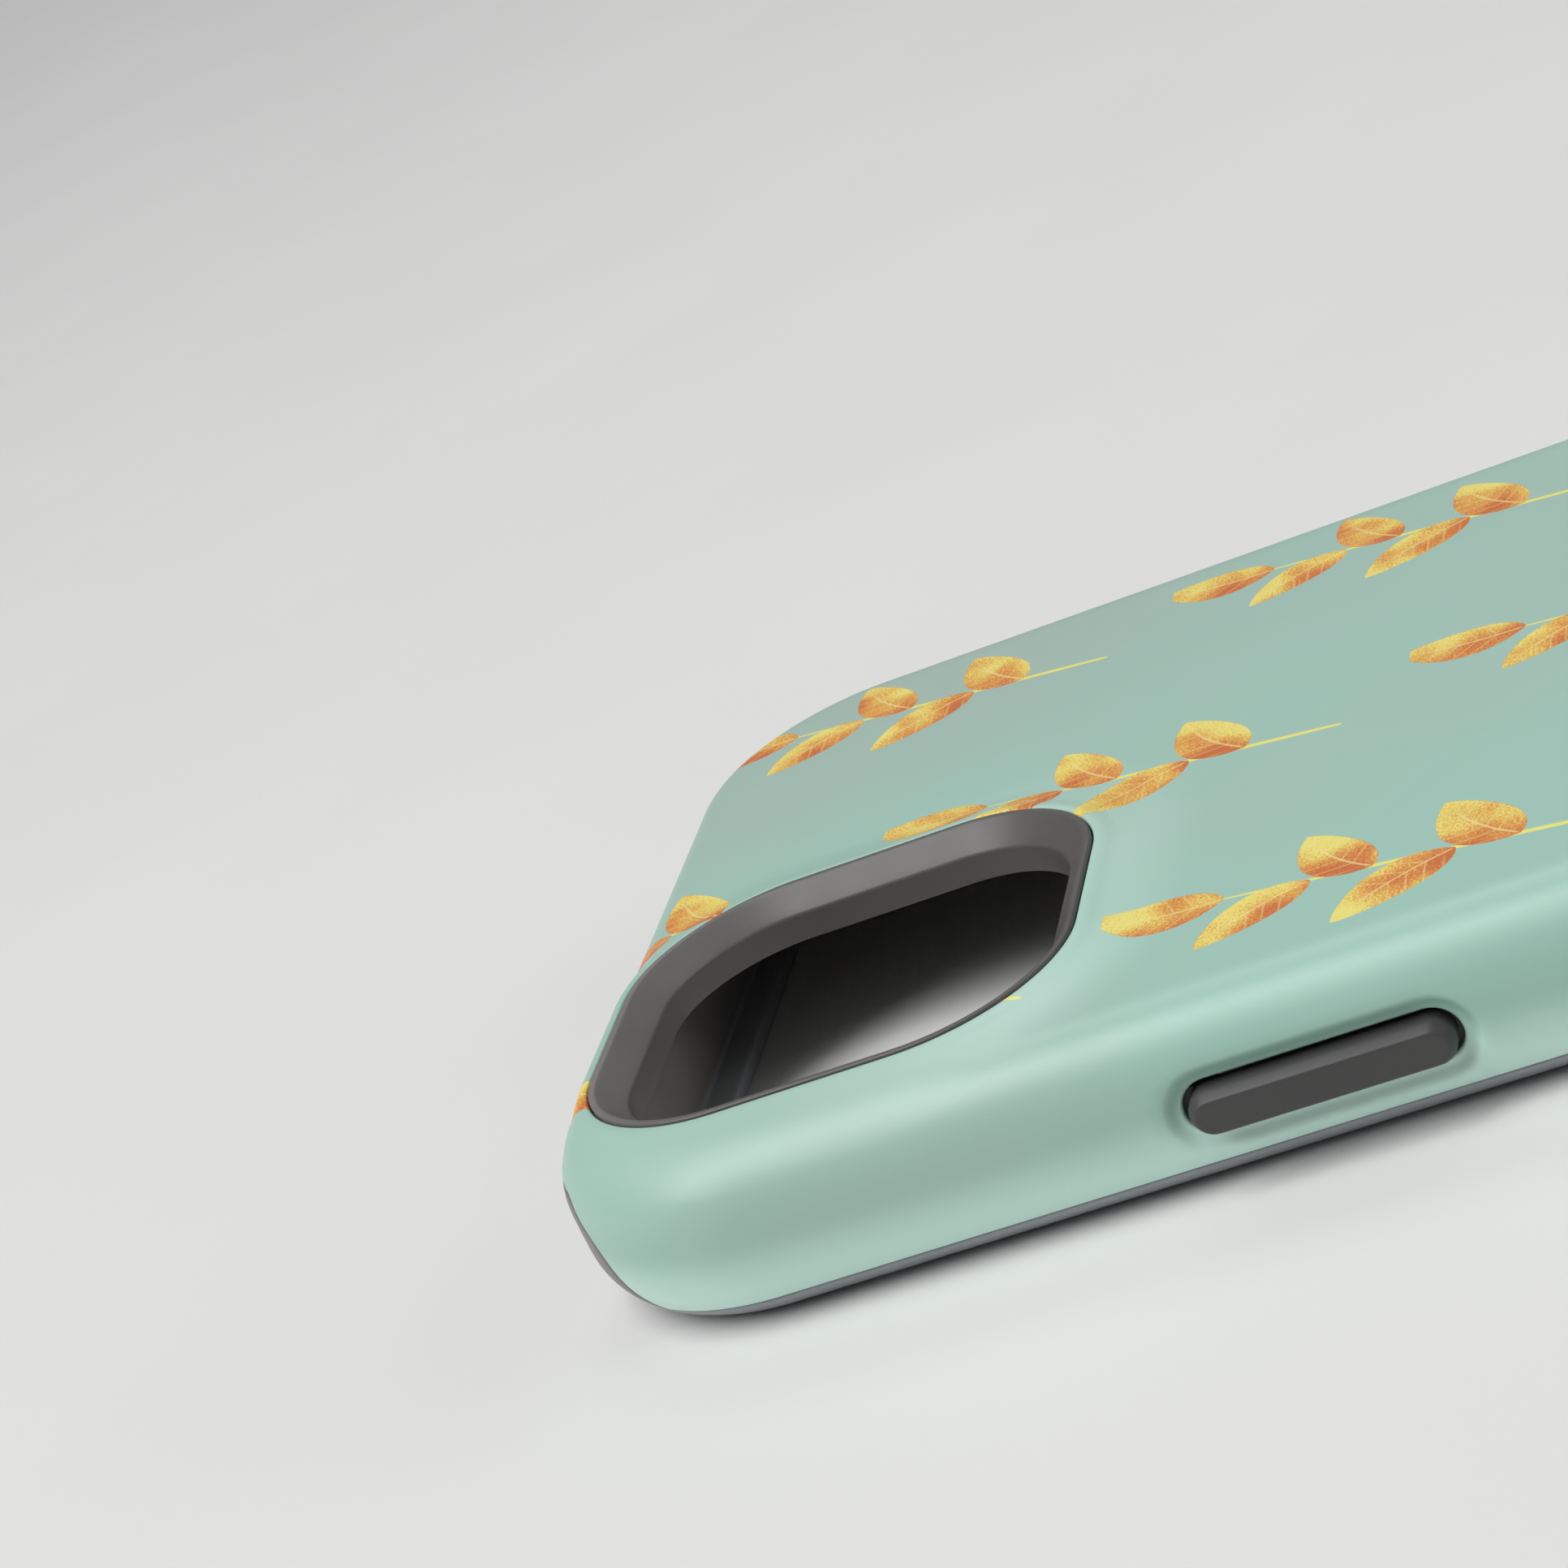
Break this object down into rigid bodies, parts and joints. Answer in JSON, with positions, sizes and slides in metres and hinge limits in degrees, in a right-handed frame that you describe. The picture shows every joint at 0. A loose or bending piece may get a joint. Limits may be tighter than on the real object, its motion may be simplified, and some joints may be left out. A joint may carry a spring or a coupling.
{
  "type": "phone case",
  "caption": "Two-layer phone case: hard outer shell clipped over a soft liner, with camera opening, charging and sound openings, and spring-back side buttons.",
  "frame": {"origin": "centre of the case in plan, on the plane of the front rim that the case lies on", "axes": "+Y along the case to the end with the camera opening, +Z from the rim to the back, -X the side with the power button"},
  "size_m": [0.0788, 0.153, 0.0128],
  "materials": {
    "shell": "satin-gloss hard polycarbonate, printed with leaf sprigs and a cup",
    "liner": "satin moulded flexible polyurethane",
    "button": "matte moulded flexible polyurethane"
  },
  "bodies": {
    "case": {"outer_shell": "shell", "inner_liner": "liner"},
    "power_button": {"power_button": "button"},
    "volume_up_button": {"volume_up_button": "button"},
    "volume_down_button": {"volume_down_button": "button"}
  },
  "joints": [
    {"name": "power_press", "type": "slide", "parent": "case", "child": "power_button", "axis": [1, 0, 0], "range_m": [0, 0.00035], "stiffness_N_per_m": 2000},
    {"name": "volume_up_press", "type": "slide", "parent": "case", "child": "volume_up_button", "axis": [-1, 0, 0], "range_m": [0, 0.00035], "stiffness_N_per_m": 2000},
    {"name": "volume_down_press", "type": "slide", "parent": "case", "child": "volume_down_button", "axis": [-1, 0, 0], "range_m": [0, 0.00035], "stiffness_N_per_m": 2000}
  ]
}
